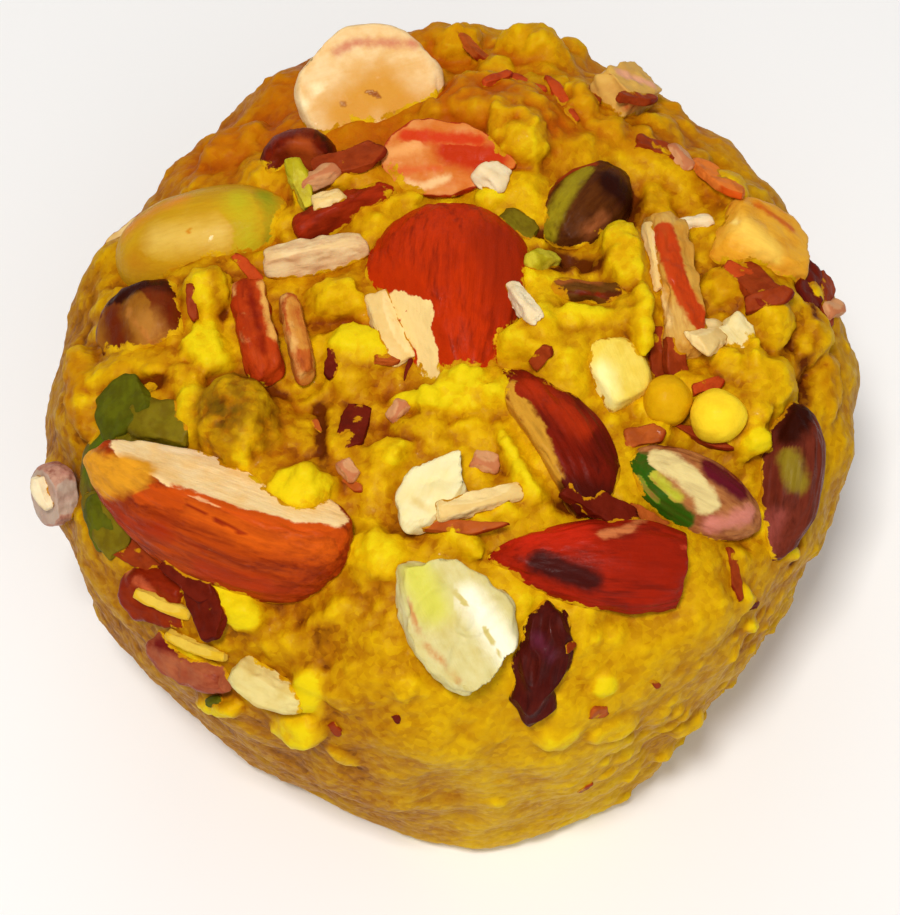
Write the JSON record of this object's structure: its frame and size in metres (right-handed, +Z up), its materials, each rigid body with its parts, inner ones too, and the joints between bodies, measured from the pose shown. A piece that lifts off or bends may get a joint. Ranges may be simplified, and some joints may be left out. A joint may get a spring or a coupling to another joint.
{
  "type": "dry fruit halwa",
  "caption": "Hand-moulded round mound of crumbly golden halwa with a flat base, studded with pieces of almond, pistachio and cashew and a raisin.",
  "frame": {"origin": "middle of the flat base that the halwa rests on", "axes": "+Z up through the dome, -Y towards the front as pictured, +X to the right"},
  "size_m": [0.0671, 0.0706, 0.0444],
  "materials": {
    "halwa": "crumbly, moist with ghee",
    "almond_skin": "striped skin, satin",
    "almond_flesh": "cut, matt",
    "pistachio": "mottled, satin",
    "cashew": "toasted, satin",
    "raisin": "wrinkled, satin"
  },
  "bodies": {
    "root": {"halwa": "halwa", "almond_centre": "almond_skin", "almond_half_left": "almond_skin", "almond_front": "almond_skin", "almond_wedge": "almond_skin", "almond_chunk_left": "almond_skin", "almond_chunk_low_left": "almond_skin", "almond_chip_edge": "almond_skin", "almond_sliver_left_a": "almond_skin", "almond_sliver_left_b": "almond_skin", "almond_sliver_dark": "almond_skin", "almond_slice_right": "almond_skin", "almond_half_far": "almond_skin", "almond_half_back": "almond_flesh", "almond_sliver_pale": "almond_flesh", "almond_corner_right": "almond_flesh", "almond_chip_front": "almond_flesh", "almond_sliver_low_a": "almond_flesh", "almond_sliver_low_b": "almond_flesh", "almond_block_back": "almond_flesh", "almond_sliver_far": "almond_flesh", "pistachio_left": "pistachio", "pistachio_end_back": "pistachio", "pistachio_back_right": "pistachio", "pistachio_slice_centre": "pistachio", "pistachio_front": "pistachio", "pistachio_green_left": "pistachio", "pistachio_side_right": "pistachio", "pistachio_far": "pistachio", "cashew_top": "cashew", "cashew_right": "cashew", "cashew_bit_right": "cashew", "cashew_flake_front": "cashew", "cashew_far": "cashew", "raisin_front": "raisin"}
  },
  "joints": []
}
